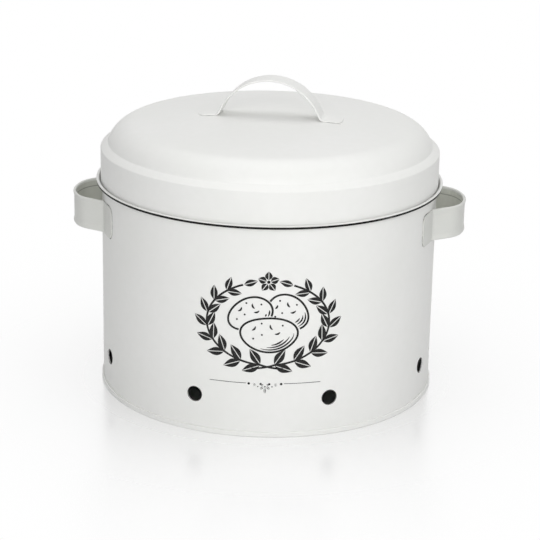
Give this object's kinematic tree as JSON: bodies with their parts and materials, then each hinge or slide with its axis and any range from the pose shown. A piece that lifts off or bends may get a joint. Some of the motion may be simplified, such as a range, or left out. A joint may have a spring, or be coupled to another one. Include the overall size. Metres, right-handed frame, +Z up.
{
  "type": "potato storage bin",
  "caption": "Round ventilated steel drum with strap handles and a domed lid that lifts off, for keeping potatoes dark and aired.",
  "frame": {"origin": "centre of the drum's foot, on the table", "axes": "+Z up along the drum's axis, -Y towards the front, +X towards the right handle"},
  "size_m": [0.3298, 0.2894, 0.2605],
  "materials": {
    "coated_sheet": "satin off-white coating on sheet steel",
    "bare_wire": "dull drawn wire"
  },
  "bodies": {
    "bin": {"body_wall": "coated_sheet", "base_pan": "coated_sheet", "rim_wire": "bare_wire", "left_handle": "coated_sheet", "right_handle": "coated_sheet"},
    "lid": {"lid_shell": "coated_sheet", "lid_collar": "coated_sheet", "lid_handle": "coated_sheet"}
  },
  "joints": [
    {"name": "lid_lift", "type": "slide", "parent": "bin", "child": "lid", "axis": [0, 0, 1], "range_m": [0, 0.15]}
  ]
}
